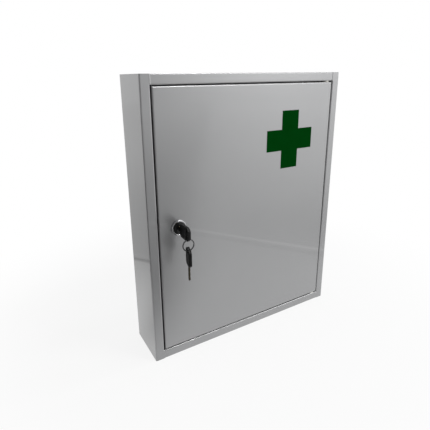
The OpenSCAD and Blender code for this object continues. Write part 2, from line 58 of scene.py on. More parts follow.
# An output socket in a node tree. Operators on it add Math nodes, and node() adds any other node.
class Value:
    def __init__(self, tree, socket=None):
        self.tree = tree
        self.socket = socket

    def node(self, kind, settings=None, inputs=None, output=0):
        made = self.tree.nodes.new(kind)
        for name, setting in (settings or {}).items():
            setattr(made, name, setting)
        for name, given in (inputs or {}).items():
            if isinstance(given, Value):
                self.tree.links.new(given.socket, made.inputs[name])
            else:
                made.inputs[name].default_value = given
        return Value(self.tree, made.outputs[output] if len(made.outputs) else None)

    def out(self, name):
        return Value(self.tree, self.socket.node.outputs[name])

    def math(self, operation, *values):
        return self.node("ShaderNodeMath", {"operation": operation}, dict(enumerate(values)))

    def __add__(self, other):
        return self.math("ADD", self, other)

    def __sub__(self, other):
        return self.math("SUBTRACT", self, other)

    def __rsub__(self, other):
        return self.math("SUBTRACT", other, self)

    def __mul__(self, other):
        return self.math("MULTIPLY", self, other)

    def __truediv__(self, other):
        return self.math("DIVIDE", self, other)

    def __pow__(self, other):
        return self.math("POWER", self, other)

    __radd__ = __add__
    __rmul__ = __mul__

    def split(self):  # the X, Y and Z of a place or a direction
        parts = self.node("ShaderNodeSeparateXYZ", {}, {"Vector": self})
        return parts.out("X"), parts.out("Y"), parts.out("Z")

    def dot(self, way):
        return self.node("ShaderNodeVectorMath", {"operation": "DOT_PRODUCT"}, {0: self, 1: way}, "Value")

    def length(self):
        return self.node("ShaderNodeVectorMath", {"operation": "LENGTH"}, {0: self}, "Value")

    def eased(self, low, high, lowTo=0, highTo=1):  # smooth step from low to high
        inputs = {"Value": self, "From Min": low, "From Max": high, "To Min": lowTo, "To Max": highTo}
        return self.node("ShaderNodeMapRange", {"interpolation_type": "SMOOTHSTEP"}, inputs)

    def noise(self, size, detail=2, roughness=0.5):  # self is a place, size is in metres
        inputs = {"Vector": self, "Scale": 1 / size, "Detail": detail, "Roughness": roughness}
        return self.node("ShaderNodeTexNoise", {}, inputs)

    def blend(self, low, high):  # colour that goes from low to high as self goes from 0 to 1
        return self.node("ShaderNodeMix", {"data_type": "RGBA"}, {0: self, 6: low, 7: high}, 2)


camera = {
    "place": (-0.3441, -0.5024, 0.4256),
    "right": (0.8649, -0.5017, -0.0122),
    "down": (-0.1515, -0.2378, -0.9594),
    "forward": (0.4785, 0.8317, -0.2817),
    "sensor": 36,
    "lens": 31.36,
    "shiftX": 0.0126,
    "shiftY": -0.0665,
    "nearest": 0.01,
    "furthest": 20,
}


def makeCamera(s):
    data = bpy.data.cameras.new("camera")
    data.sensor_width = s["sensor"]
    data.lens = s["lens"]
    data.shift_x, data.shift_y = s["shiftX"], s["shiftY"]
    data.clip_start, data.clip_end = s["nearest"], s["furthest"]
    made = bpy.data.objects.new("camera", data)
    bpy.context.scene.collection.objects.link(made)
    right, down, forward = Vector(s["right"]), Vector(s["down"]), Vector(s["forward"])
    turn = Matrix((right, -down, -forward)).transposed().to_4x4()
    made.matrix_world = Matrix.Translation(s["place"]) @ turn
    bpy.context.scene.camera = made


studio = {
    "fill": 0.62,  # light from all round
    "fillBelow": 0.5,
    "fillSpan": 0.6,  # Z of the directions, down and up, between which it changes
    "mirror": 1.2,  # how white gloss shows the room in front
    "mirrorBehind": 0.83,
    "mirrorSpan": 0.7,  # Y of the directions, front and back, between which that changes
    "ceiling": 0.4,  # how much darker it is overhead
    "ceilingFrom": 0,  # Z of the directions between which that grows
    "ceilingTo": 0.6,
    "darkSide": (-0.6, -0.8, 0.0),  # the unlit part of the room, behind the camera, as gloss shows it
    "darkFrom": 0.25,  # cosines of the angles where it starts and is full
    "darkTo": 0.8,
    "darkDepth": 0.8,
}


# Two shares of 0 or 1: for all that the camera sees, also in gloss and through glass, and for gloss alone
def isShown(net):
    ray = net.node("ShaderNodeLightPath")
    seen = ray.math("MAXIMUM", ray.out("Is Camera Ray"), ray.out("Is Transmission Ray"))
    return seen.math("MAXIMUM", seen, ray.out("Is Glossy Ray")), ray.out("Is Glossy Ray")


def makeStudio(s):
    world = bpy.data.worlds.new("studio")
    bpy.context.scene.world = world
    world.use_nodes = True
    world.node_tree.nodes.clear()
    net = Value(world.node_tree)
    way = net.node("ShaderNodeTexCoord").out("Generated")
    back, up = way.split()[1:]
    shown, glossy = isShown(net)
    fill = up.eased(-s["fillSpan"], s["fillSpan"], s["fillBelow"], s["fill"])
    dark = way.dot(s["darkSide"]).eased(s["darkFrom"], s["darkTo"], 0, s["darkDepth"])
    mirror = back.eased(-s["mirrorSpan"], s["mirrorSpan"], s["mirror"], s["mirrorBehind"])
    mirror = mirror * (1 - up.eased(s["ceilingFrom"], s["ceilingTo"], 0, s["ceiling"])) * (1 - dark)
    strength = shown * (1 - glossy * (1 - mirror)) + (1 - shown) * fill
    shader = net.node("ShaderNodeBackground", {}, {"Color": (1, 1, 1, 1), "Strength": strength})
    net.node("ShaderNodeOutputWorld", {}, {"Surface": shader})


lamps = {  # in metres and watts
    "softbox": {"place": (1.15, -1.35, 0.95), "target": (0.0, 0.0, 0.24), "size": (0.7, 0.7), "power": 6},
    "overhead": {"place": (0.45, -0.62, 1.5), "target": (0.0, -0.1, 0.2), "size": (0.35, 0.35), "power": 6},
    "topStrip": {"place": (0.82, -0.15, 1.5), "target": (0.82, -0.15, 0.4), "size": (1.3, 0.12), "power": 4},
}


def makeLamp(name, s):
    data = bpy.data.lights.new(name, "AREA")
    data.shape = "RECTANGLE"
    data.size, data.size_y = s["size"]
    data.energy = s["power"]
    lamp = bpy.data.objects.new(name, data)
    bpy.context.scene.collection.objects.link(lamp)
    aim = (Vector(s["target"]) - Vector(s["place"])).to_track_quat("-Z", "Y")
    lamp.matrix_world = Matrix.Translation(s["place"]) @ aim.to_matrix().to_4x4()


floor = {
    "radius": 6.0,
    "sides": 96,
    "drop": 0.0002,  # under the cabinet, so that the two faces don't flicker
    "colour": (0.8, 0.8, 0.8, 1),
    "shadeInner": 0.28,  # the object's shadow shows inside this radius and is gone at the outer one
    "shadeOuter": 0.62,
    "shadowed": 0.15,  # the share of the floor's white that comes from the lamps
    "boardAcross": (0.8, -0.6, 0.0),  # a painted reflection: a white board under the cabinet that only gloss shows
    "boardMiddle": -0.025,
    "boardHalf": 0.373,
    "boardRim": 0.012,
    "rimLeft": -0.6,  # painted light along its rims, below 0 where it is painted shade
    "rimRight": -0.4,
    "rimSpan": 0.1,  # either side of the middle, where the left value turns into the right one
    "glowOut": 0.03,  # and painted light along a line outside the right one
    "glowRight": 0.9,
    "mirror": 0.89,  # how white gloss shows it
    "mirrorFar": 1.05,
    "farFrom": 0.3,  # how far in front of the cabinet's middle that changes
    "farTo": 0.65,
    "furthest": 0.36,  # how much more it gains far out, painted light
    "furthestFrom": 0.9,
    "furthestTo": 4,
    "behind": 0.14,  # and loses behind the cabinet, painted shade
    "behindFrom": -0.3,
    "behindTo": -0.05,
    "beyond": 0.2,  # painted shade: how much darker the floor just beyond the board is
    "beyondReach": 1.2,  # and how far that goes
    "darkWay": (-0.85, -0.52, 0.0),  # painted shade: towards the unlit room the floor darkens between these distances
    "darkFrom": 0.11,
    "darkTo": 0.22,
    "darkDepth": 0.8,
    "darkFar": 0.57,
    "footShare": 0.25,  # the share of that painted shade that is left at the door's foot
    "footFrom": 0.02,
    "footTo": 0.26,
    "backFrom": -0.06,  # it is whole again from here back
    "backTo": 0.04,
}


def makeFloor(s):
    bm = bmesh.new()
    bmesh.ops.create_circle(bm, cap_ends=True, segments=s["sides"], radius=s["radius"])
    bmesh.ops.translate(bm, verts=bm.verts, vec=(0, 0, -s["drop"]))
    mesh = bpy.data.meshes.new("floor")
    bm.to_mesh(mesh)
    bm.free()
    made = bpy.data.objects.new("floor", mesh)
    bpy.context.scene.collection.objects.link(made)
    material = bpy.data.materials.new("floor")
    material.use_nodes = True
    material.node_tree.nodes.clear()
    net = Value(material.node_tree)
    place = net.node("ShaderNodeTexCoord").out("Object")
    # For gloss alone the floor's white is painted: a white board with painted light and shade along its rims,
    # painted shade beyond it, towards the unlit room and behind the cabinet, and painted light far out. The
    # cabinet shows this as a painted reflection of a room.
    across = place.dot(s["boardAcross"]) - s["boardMiddle"]
    paintedRimLight = across.eased(-s["rimSpan"], s["rimSpan"], s["rimLeft"], s["rimRight"])
    paintedGlow = across.math("ABSOLUTE", across - (s["boardHalf"] + s["glowOut"]))
    paintedGlow = paintedGlow.eased(0, s["boardRim"], s["glowRight"], 0)
    across = across.math("ABSOLUTE", across)
    off = across.math("ABSOLUTE", across - s["boardHalf"])
    shown, glossy = isShown(net)
    rim = off.eased(0, s["boardRim"], 1, 0) * paintedRimLight + paintedGlow
    front = 0 - place.split()[1]
    level = front.eased(s["farFrom"], s["farTo"], s["mirror"], s["mirrorFar"])
    level = level + front.eased(s["furthestFrom"], s["furthestTo"], 0, s["furthest"])
    level = level - front.eased(s["behindFrom"], s["behindTo"], s["behind"], 0)
    beyond = across.eased(s["boardHalf"], s["boardHalf"] + s["boardRim"], 0, s["beyond"])
    beyond = beyond * across.eased(s["boardHalf"], s["boardHalf"] + s["beyondReach"], 1, 0)
    foot = front.eased(s["footFrom"], s["footTo"], s["footShare"], 1)
    foot = foot.math("MAXIMUM", foot, front.eased(s["backFrom"], s["backTo"], 1, 0))
    dark = place.dot(s["darkWay"]).eased(s["darkFrom"], s["darkTo"], 0, 1) * foot
    shade = beyond + dark * front.eased(s["farFrom"], s["farTo"], s["darkDepth"], s["darkFar"])
    near = place.length().eased(s["shadeInner"], s["shadeOuter"], 1, 0)
    lit = net.node("ShaderNodeBsdfDiffuse", {}, {"Color": s["colour"]})
    # gloss sees the painted light and shade above, the camera plain white
    strength = 1 + glossy * (level - 1 + rim - shade)
    white = net.node("ShaderNodeEmission", {}, {"Color": (1, 1, 1, 1), "Strength": strength})
    visible = net.node("ShaderNodeMixShader", {}, {0: near * s["shadowed"], 1: white, 2: lit})
    surface = net.node("ShaderNodeMixShader", {}, {0: shown, 1: lit, 2: visible})
    net.node("ShaderNodeOutputMaterial", {}, {"Surface": surface})
    mesh.materials.append(material)


bpy.context.scene.view_settings.view_transform = "Standard"
makeCamera(camera)
makeStudio(studio)
for name, settings in lamps.items():
    makeLamp(name, settings)
makeFloor(floor)
print("stage: camera, studio,", len(lamps), "lamps and floor")


def startMaterial(name):
    material = bpy.data.materials.new(name)
    material.use_nodes = True
    material.node_tree.nodes.clear()
    net = Value(material.node_tree)
    return material, net.node("ShaderNodeTexCoord").out("Object")


def closeMaterial(place, surface, height, depth):  # height is about 0 to 1, depth in metres
    surface["Normal"] = place.node("ShaderNodeBump", {}, {"Strength": 1, "Distance": depth, "Height": height})
    shader = place.node("ShaderNodeBsdfPrincipled", {}, surface)
    place.node("ShaderNodeOutputMaterial", {}, {"Surface": shader})


greyPaint = {
    "dark": (0.335, 0.337, 0.342, 1),
    "light": (0.375, 0.377, 0.382, 1),
    "cloudSize": 0.14,
    "metallic": 0.7,
    "roughness": 0.33,
    "roughnessSpread": 0.05,
    "coat": 0.8,
    "coatRoughness": 0.03,
    "peelSize": 0.0024,
    "peelDepth": 0.000005,
    "waveSize": 0.17,
    "waveDepth": 0.0007,
}


def makeGreyPaint(s, name="greyPaint", dimples=None):
    material, place = startMaterial(name)
    cloud = place.noise(s["cloudSize"], detail=3)
    peel = place.noise(s["peelSize"], roughness=0.4)
    wave = place.noise(s["waveSize"], detail=1)
    height = peel * (s["peelDepth"] / s["waveDepth"]) + wave
    if dimples is not None:
        height = height - dimples(place) / s["waveDepth"]
    surface = {
        "Base Color": cloud.blend(s["dark"], s["light"]),
        "Metallic": s["metallic"],
        "Roughness": s["roughness"] + s["roughnessSpread"] * (cloud - 0.5),
        "Coat Weight": s["coat"],
        "Coat Roughness": s["coatRoughness"],
    }
    closeMaterial(place, surface, height, s["waveDepth"])
    return material


weldSpots = {
    "pitch": 0.046,
    "radius": 0.0028,
    "flat": 0.45,  # share of the radius where a dimple has its full depth
    "depth": 0.00018,
    "fromSide": 0.1695,  # from the middle of the back to the rows down its sides
    "fromMiddle": 0.2075,  # and to the rows along its top and bottom
    "middle": 0.215,  # height of the middle
}


def weldRows(place):  # dimples of the spot welds round the back, in metres of depth
    s = weldSpots
    x, _, z = place.split()
    z = z - s["middle"]
    depth = 0
    for across, along, reach in ((x, z, s["fromSide"]), (z, x, s["fromMiddle"])):
        off = across.math("ABSOLUTE", across) - reach
        step = along.math("PINGPONG", along, s["pitch"] / 2)
        far = (off * off + step * step) ** 0.5
        depth = depth + far.eased(s["radius"] * s["flat"], s["radius"], s["depth"], 0)
    return depth


greenFilm = {
    "dark": (0.0, 0.034, 0.0024, 1),
    "light": (0.0, 0.042, 0.0038, 1),
    "mottleSize": 0.02,
    "specular": 0.004,
    "roughness": 0.45,
    "roughnessSpread": 0.1,
    "grainSize": 0.0007,
    "grainDepth": 0.000006,
}


def makeGreenFilm(s):
    material, place = startMaterial("greenFilm")
    mottle = place.noise(s["mottleSize"], detail=4)
    surface = {
        "Base Color": mottle.blend(s["dark"], s["light"]),
        "Roughness": s["roughness"] + s["roughnessSpread"] * (mottle - 0.5),
        "Specular IOR Level": s["specular"],
    }
    closeMaterial(place, surface, place.noise(s["grainSize"]), s["grainDepth"])
    return material


# Plated and bare metals: a base that drifts between two tones, worn through to a third in patches
def makeMetal(name, s):
    material, place = startMaterial(name)
    drift = place.noise(s["driftSize"], detail=3)
    grain = place.noise(s["grainSize"])
    colour = drift.blend(s["dark"], s["light"])
    roughness = s["roughness"] + s["roughnessSpread"] * (drift - 0.5)
    if "worn" in s:
        start = 1 - s["wornShare"]
        patch = place.noise(s["wornSize"], 4, s["wornRagged"])
        patch = patch.eased(start, start + s["wornBlur"])
        colour = patch.blend(colour, s["worn"])
        roughness = roughness + s["wornRougher"] * patch
    surface = {"Base Color": colour, "Metallic": 1, "Roughness": roughness}
    closeMaterial(place, surface, grain, s["grainDepth"])
    return material


metals = {
    "chrome": {
        "dark": (0.41, 0.41, 0.42, 1), "light": (0.49, 0.49, 0.5, 1), "driftSize": 0.012,
        "roughness": 0.09, "roughnessSpread": 0.06, "grainSize": 0.0012, "grainDepth": 0.0000015,
    },
    "zincSteel": {
        "dark": (0.47, 0.48, 0.5, 1), "light": (0.62, 0.62, 0.63, 1), "driftSize": 0.008,
        "roughness": 0.34, "roughnessSpread": 0.14, "grainSize": 0.0005, "grainDepth": 0.000006,
    },
    "brass": {
        "dark": (0.52, 0.35, 0.12, 1), "light": (0.66, 0.47, 0.19, 1), "driftSize": 0.005,
        "roughness": 0.3, "roughnessSpread": 0.12, "grainSize": 0.0004, "grainDepth": 0.000006,
    },
    "keyMetal": {
        "dark": (0.07, 0.06, 0.04, 1), "light": (0.12, 0.105, 0.07, 1), "driftSize": 0.006,
        "worn": (0.17, 0.12, 0.05, 1), "wornSize": 0.0045, "wornShare": 0.4, "wornRagged": 0.65,
        "wornBlur": 0.12, "wornRougher": 0.12,
        "roughness": 0.3, "roughnessSpread": 0.12, "grainSize": 0.0005, "grainDepth": 0.000006,
    },
    "springSteel": {
        "dark": (0.1, 0.1, 0.105, 1), "light": (0.17, 0.17, 0.175, 1), "driftSize": 0.005,
        "roughness": 0.25, "roughnessSpread": 0.1, "grainSize": 0.0005, "grainDepth": 0.000005,
    },
}


# Plastics, rubber and the black enamel of the lock: two tones, and a fine moulded or cast surface
def makeMoulded(name, s):
    material, place = startMaterial(name)
    drift = place.noise(s["driftSize"], detail=3)
    surface = {
        "Base Color": drift.blend(s["dark"], s["light"]),
        "Roughness": s["roughness"] + s["roughnessSpread"] * (drift - 0.5),
        "Specular IOR Level": s["specular"],
    }
    closeMaterial(place, surface, place.noise(s["grainSize"], detail=3), s["grainDepth"])
    return material


moulded = {
    "lockBlack": {
        "dark": (0.004, 0.004, 0.004, 1), "light": (0.009, 0.009, 0.009, 1), "driftSize": 0.006,
        "roughness": 0.22, "roughnessSpread": 0.1, "specular": 0.4,
        "grainSize": 0.0009, "grainDepth": 0.000004,
    },
    "blackPlastic": {
        "dark": (0.004, 0.004, 0.004, 1), "light": (0.009, 0.009, 0.009, 1), "driftSize": 0.01,
        "roughness": 0.38, "roughnessSpread": 0.12, "specular": 0.18,
        "grainSize": 0.00035, "grainDepth": 0.00002,
    },
    "nylon": {
        "dark": (0.7, 0.68, 0.62, 1), "light": (0.78, 0.77, 0.73, 1), "driftSize": 0.006,
        "roughness": 0.5, "roughnessSpread": 0.1, "specular": 0.5,
        "grainSize": 0.0008, "grainDepth": 0.000015,
    },
    "rubber": {
        "dark": (0.03, 0.03, 0.032, 1), "light": (0.05, 0.05, 0.052, 1), "driftSize": 0.004,
        "roughness": 0.78, "roughnessSpread": 0.12, "specular": 0.3,
        "grainSize": 0.0004, "grainDepth": 0.00003,
    },
}

finishes = {
    "grey_paint": makeGreyPaint(greyPaint),
    "green_film": makeGreenFilm(greenFilm),
    "chrome": makeMetal("chrome", metals["chrome"]),
    "zinc_steel": makeMetal("zincSteel", metals["zincSteel"]),
    "brass": makeMetal("brass", metals["brass"]),
    "key_metal": makeMetal("keyMetal", metals["keyMetal"]),
    "spring_steel": makeMetal("springSteel", metals["springSteel"]),
    "lock_black": makeMoulded("lockBlack", moulded["lockBlack"]),
    "black_plastic": makeMoulded("blackPlastic", moulded["blackPlastic"]),
    "nylon": makeMoulded("nylon", moulded["nylon"]),
    "rubber": makeMoulded("rubber", moulded["rubber"]),
}
weldedPaint = makeGreyPaint(greyPaint, "weldedPaint", weldRows)
for node, made in nodes.items():
    for slot in made.material_slots:
        slot.material = weldedPaint if node == "back_panel" else finishes[slotOf[node]]
print("finishes:", len(finishes) + 1, "materials on", len(nodes), "nodes")


def boxOf(node):  # lowest and highest corner of a CAD node, in millimetres
    low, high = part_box(node)
    return low / mm, high / mm


def onLockAxis(y):  # what stands along +Z runs back along the lock's axis, from y
    return Matrix.Translation((lockAxis.x, y, lockAxis.z)) @ Matrix.Rotation(math.radians(-90), 4, "X")


# Takes a shape from millimetres to its place in metres, with a finish. Edges past the sharp angle stay sharp.
def dressed(name, mesh, place, slot, sharp):
    mesh.transform(Matrix.Scale(mm, 4) @ (place or Matrix.Identity(4)))
    mesh.materials.clear()
    mesh.materials.append(finishes[slot])
    mesh.shade_smooth()
    mesh.set_sharp_from_angle(angle=math.radians(sharp))
    piece = bpy.data.objects.new(name, mesh)
    bpy.context.scene.collection.objects.link(piece)
    return piece


def settle(name, mesh, node, place=None, sharp=32):  # on the body of the node that it stands for
    piece = dressed(name, mesh, place, slotOf[node], sharp)
    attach(piece, bodyOf[node])
    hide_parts(node)


def meshOf(name, bm):  # with all normals outward
    bmesh.ops.recalc_face_normals(bm, faces=bm.faces)
    mesh = bpy.data.meshes.new(name)
    bm.to_mesh(mesh)
    bm.free()
    return mesh


# A closed outline of (x, y, ease) corners, each rounded with its own radius
def eased(corners, steps=4):
    points = []
    for i, (x, y, ease) in enumerate(corners):
        corner = Vector((x, y))
        if not ease:
            points.append(corner)
            continue
        back = (Vector(corners[i - 1][:2]) - corner).normalized()
        ahead = (Vector(corners[(i + 1) % len(corners)][:2]) - corner).normalized()
        half = back.angle(ahead) / 2
        centre = corner + (back + ahead).normalized() * (ease / math.sin(half))
        start = corner + back * (ease / math.tan(half)) - centre
        end = corner + ahead * (ease / math.tan(half)) - centre
        for k in range(steps + 1):
            points.append(centre + start.slerp(end, k / steps))
    return points


# Turns a section of (radius, height) points round Z. reshape changes a radius by height and angle.
def turned(section, steps=64, reshape=None):
    bm = bmesh.new()
    rings = []
    for radius, height in section:
        ring = []
        for k in range(steps if radius > 0 else 1):
            angle = 2 * math.pi * k / steps
            r = reshape(radius, height, angle) if reshape else radius
            ring.append(bm.verts.new((r * math.cos(angle), r * math.sin(angle), height)))
        rings.append(ring)
    closed = section[0][0] > 0
    for low, high in zip(rings, rings[1:] + rings[:1] if closed else rings[1:]):
        for k in range(steps):
            n = (k + 1) % steps
            corners = [low[k % len(low)], low[n % len(low)], high[n % len(high)], high[k % len(high)]]
            bm.faces.new(list(dict.fromkeys(corners)))
    return bm


def cutAway(mesh, cutter):  # mesh less cutter, both closed
    carrier = bpy.data.objects.new("carrier", mesh)
    tool = bpy.data.objects.new("cutter", cutter)
    for made in (carrier, tool):
        bpy.context.scene.collection.objects.link(made)
    cut = carrier.modifiers.new("cut", "BOOLEAN")
    cut.operation = "DIFFERENCE"
    cut.solver = "EXACT"
    cut.object = tool
    graph = bpy.context.evaluated_depsgraph_get()
    result = bpy.data.meshes.new_from_object(carrier.evaluated_get(graph))
    for made in (carrier, tool):
        bpy.data.objects.remove(made)
    return result


def brick(low, high):  # a closed box between two corners
    bm = bmesh.new()
    bmesh.ops.create_cube(bm, size=1)
    bmesh.ops.scale(bm, verts=bm.verts, vec=Vector(high) - Vector(low))
    bmesh.ops.translate(bm, verts=bm.verts, vec=(Vector(high) + Vector(low)) / 2)
    return bm


easing = {
    "merge": 1e-6,  # metres: points as close as this become one, before the edges are eased
    "mergeAfter": 2e-6,  # and after
    "flat": 0.5,  # degrees up to which faces become one
    "hard": 35,  # degrees from which an edge is eased
    "segments": 2,
}


def softened(name, node, width):  # a copy of a CAD node with its hard edges eased
    s = easing
    bm = bmesh.new()
    bm.from_mesh(nodes[node].data)
    bmesh.ops.remove_doubles(bm, verts=bm.verts, dist=s["merge"])
    bmesh.ops.dissolve_limit(bm, angle_limit=math.radians(s["flat"]), verts=bm.verts, edges=bm.edges)
    hard = [e for e in bm.edges if e.is_manifold and e.calc_face_angle(0) > math.radians(s["hard"])]
    bmesh.ops.bevel(bm, geom=hard, offset=width * mm, segments=s["segments"], profile=0.5, affect="EDGES",
                    clamp_overlap=True)
    bmesh.ops.remove_doubles(bm, verts=bm.verts, dist=s["mergeAfter"])
    mesh = bpy.data.meshes.new(name)
    bm.to_mesh(mesh)
    bm.free()
    mesh.transform(Matrix.Scale(1 / mm, 4))
    settle(name, mesh, node)


bezel = {"outerEase": 0.55, "innerEase": 0.35, "footEase": 0.15, "easeSteps": 6, "steps": 96}


def makeBezel(s):
    low, high = boxOf("lock_bezel")
    outer = (high.x - low.x) / 2
    face = boxOf("lock_housing")
    inner = (face[1].x - face[0].x) / 2
    height = high.y - low.y
    section = eased([
        (inner, height, s["footEase"]), (inner, 0, s["innerEase"]),
        (outer, 0, s["outerEase"]), (outer, height, s["footEase"]),
    ], s["easeSteps"])
    mesh = meshOf("bezelRing", turned(section, s["steps"]))
    settle("bezelRing", mesh, "lock_bezel", onLockAxis(low.y), sharp=40)


barrel = {
    "diameter": 18.0,
    "flats": 16.0,
    "pitch": 1.0,
    "threadDepth": 0.45,
    "bore": 13.1,
    "seat": 15.1,
    "seatDepth": 1.0,
    "seatEase": 0.15,
    "faceEase": 0.35,
    "steps": 96,
    "perTurn": 6,  # rings in one turn of the thread
}


def threadAt(height, angle, pitch):  # 0 on the crest, 1 in the root
    turn = (height / pitch - angle / (2 * math.pi)) % 1
    return 1 - abs(2 * turn - 1)


def makeBarrel(s):
    low, high = boxOf("lock_housing")
    door = boxOf("door_panel")[0].y
    face = low.y - door  # heights run back from the door's face, so the lock's face is below 0
    length = high.y - door
    flange = (high.x - low.x) / 2
    radius = s["diameter"] / 2
    bore = s["bore"] / 2
    seat = s["seat"] / 2
    section = eased([
        (bore, length, 0), (bore, face + s["seatDepth"], 0), (seat, face + s["seatDepth"], 0),
        (seat, face, s["seatEase"]), (flange, face, s["faceEase"]), (flange, 0, 0),
    ])
    count = round(length / s["pitch"] * s["perTurn"])
    section += [Vector((radius, length * k / count)) for k in range(count + 1)]
    section.append(Vector((radius - 2 * s["threadDepth"], length)))

    def reshape(r, height, angle):
        if height < 0 or r > radius or r < radius - 3 * s["threadDepth"]:
            return r
        r = r - s["threadDepth"] * threadAt(height, angle, s["pitch"])
        sine = max(abs(math.sin(angle)), 0.01)  # never 0
        return min(r, s["flats"] / 2 / sine)

    mesh = meshOf("lockBarrel", turned(section, s["steps"], reshape))
    settle("lockBarrel", mesh, "lock_housing", onLockAxis(door), sharp=30)


nut = {
    "bore": 18.2,
    "boreEase": 0.35,
    "chamferIn": 0.2,  # how far inside the flats the corners' chamfer starts
    "chamferRise": 0.55,
    "chamferSteps": 4,
    "steps": 96,
}


def makeNut(s):
    low, high = boxOf("lock_nut")
    height = high.y - low.y
    flats = min(high.x - low.x, high.z - low.z)
    corner = flats / 2 / math.cos(math.radians(30))
    bore = s["bore"] / 2
    start = flats / 2 - s["chamferIn"]
    shares = [k / s["chamferSteps"] for k in range(s["chamferSteps"] + 1)]
    slope = [(start + (corner - start) * share, s["chamferRise"] * share) for share in shares]
    outside = [Vector((r, h)) for r, h in slope] + [Vector((r, height - h)) for r, h in reversed(slope)]
    rim = [(bore, height, s["boreEase"]), (bore, 0, s["boreEase"]), (corner, 0, 0), (corner, height, 0)]
    inside = eased(rim, 2)[:-2]  # the outside takes the place of the last two corners
    offset = 0 if high.z - low.z > high.x - low.x else 30  # degrees, with a corner up or to the side

    def reshape(r, h, angle):
        side = (math.degrees(angle) + offset) % 60 - 30
        return min(r, flats / 2 / math.cos(math.radians(side)))

    mesh = meshOf("lockNut", turned(inside + outside, s["steps"], reshape))
    settle("lockNut", mesh, "lock_nut", onLockAxis(low.y), sharp=25)


camScrew = {
    "shank": 3.4,
    "pitch": 0.7,
    "perTurn": 6,
    "threadDepth": 0.28,
    "tipIn": 0.4,  # the chamfer at the shank's end
    "tipRise": 0.35,
    "runOut": 0.2,  # bare shank under the head
    "headHeight": 2.2,
    "headEase": 0.15,
    "domeEase": 1.3,
    "domeSteps": 6,
    "recess": 4.2,  # the cross recess
    "recessWidth": 0.9,
    "recessDepth": 1.1,
    "past": 1,  # how far its cutter reaches out of the head
    "steps": 48,
}


def makeCamScrew(s):
    low, high = boxOf("cam_screw")
    length = high.y - low.y
    under = length - s["headHeight"]
    head = (high.x - low.x) / 2
    radius = s["shank"] / 2
    tip = s["tipRise"]
    count = round(under / s["pitch"] * s["perTurn"])
    section = [Vector((0, 0)), Vector((radius - s["tipIn"], 0))]
    section += [Vector((radius, tip + (under - tip) * k / count)) for k in range(count + 1)]
    dome = [(0, under, 0), (head, under, s["headEase"]), (head, length, s["domeEase"]), (0, length, 0)]
    section += eased(dome, s["domeSteps"])[1:]

    def reshape(r, height, angle):
        if abs(r - radius) > 0.01 or height > under - s["runOut"]:  # not on the thread
            return r
        return r - s["threadDepth"] * threadAt(height, angle, s["pitch"])

    mesh = meshOf("camScrew", turned(section, s["steps"], reshape))
    bottom = length - s["recessDepth"]
    for x, y in ((s["recess"], s["recessWidth"]), (s["recessWidth"], s["recess"])):
        cutter = brick((-x / 2, -y / 2, bottom), (x / 2, y / 2, length + s["past"]))
        mesh = cutAway(mesh, meshOf("recess", cutter))
    settle("camScrew", mesh, "cam_screw", onLockAxis(low.y), sharp=30)


camWasher = {"bore": 3.6, "ease": 0.2, "easeSteps": 3, "steps": 64}


def makeCamWasher(s):
    low, high = boxOf("cam_washer")
    outer = (high.x - low.x) / 2
    height = high.y - low.y
    bore = s["bore"] / 2
    outline = [(bore, height, s["ease"]), (bore, 0, 0), (outer, 0, 0), (outer, height, s["ease"])]
    section = eased(outline, s["easeSteps"])
    mesh = meshOf("camWasher", turned(section, s["steps"]))
    settle("camWasher", mesh, "cam_washer", onLockAxis(low.y))


springs = {"wire": 0.18, "wireSides": 6, "turns": 9.0, "perTurn": 14, "count": 5}


# A tree of named inputs that starts with the group's own input node
def startTree(name, inputs):
    tree = bpy.data.node_groups.new(name, "GeometryNodeTree")
    tree.interface.new_socket("Geometry", in_out="OUTPUT", socket_type="NodeSocketGeometry")
    ids = {}
    for label, kind in inputs.items():
        made = tree.interface.new_socket(label, in_out="INPUT", socket_type="NodeSocket" + kind)
        ids[label] = made.identifier
    return tree, ids, Value(tree).node("NodeGroupInput")


def swept(path, section):  # a closed tube
    inputs = {"Curve": path, "Profile Curve": section, "Fill Caps": True}
    return path.node("GeometryNodeCurveToMesh", {}, inputs)


def closeTree(shape, material):
    real = shape.node("GeometryNodeRealizeInstances", {}, {"Geometry": shape})
    done = shape.node("GeometryNodeSetMaterial", {}, {"Geometry": real, "Material": material})
    shape.node("NodeGroupOutput", {}, {0: done})


def grown(name, tree, ids, values):  # the tree's result as a plain mesh
    carrier = bpy.data.objects.new(name, bpy.data.meshes.new(name))
    bpy.context.scene.collection.objects.link(carrier)
    modifier = carrier.modifiers.new("nodes", "NODES")
    modifier.node_group = tree
    for label, value in values.items():
        modifier[ids[label]] = value
    graph = bpy.context.evaluated_depsgraph_get()
    mesh = bpy.data.meshes.new_from_object(carrier.evaluated_get(graph))
    bpy.data.objects.remove(carrier)
    bm = bmesh.new()
    bm.from_mesh(mesh)
    bmesh.ops.remove_doubles(bm, verts=bm.verts, dist=1e-5)  # millimetres
    return meshOf(name, bm)


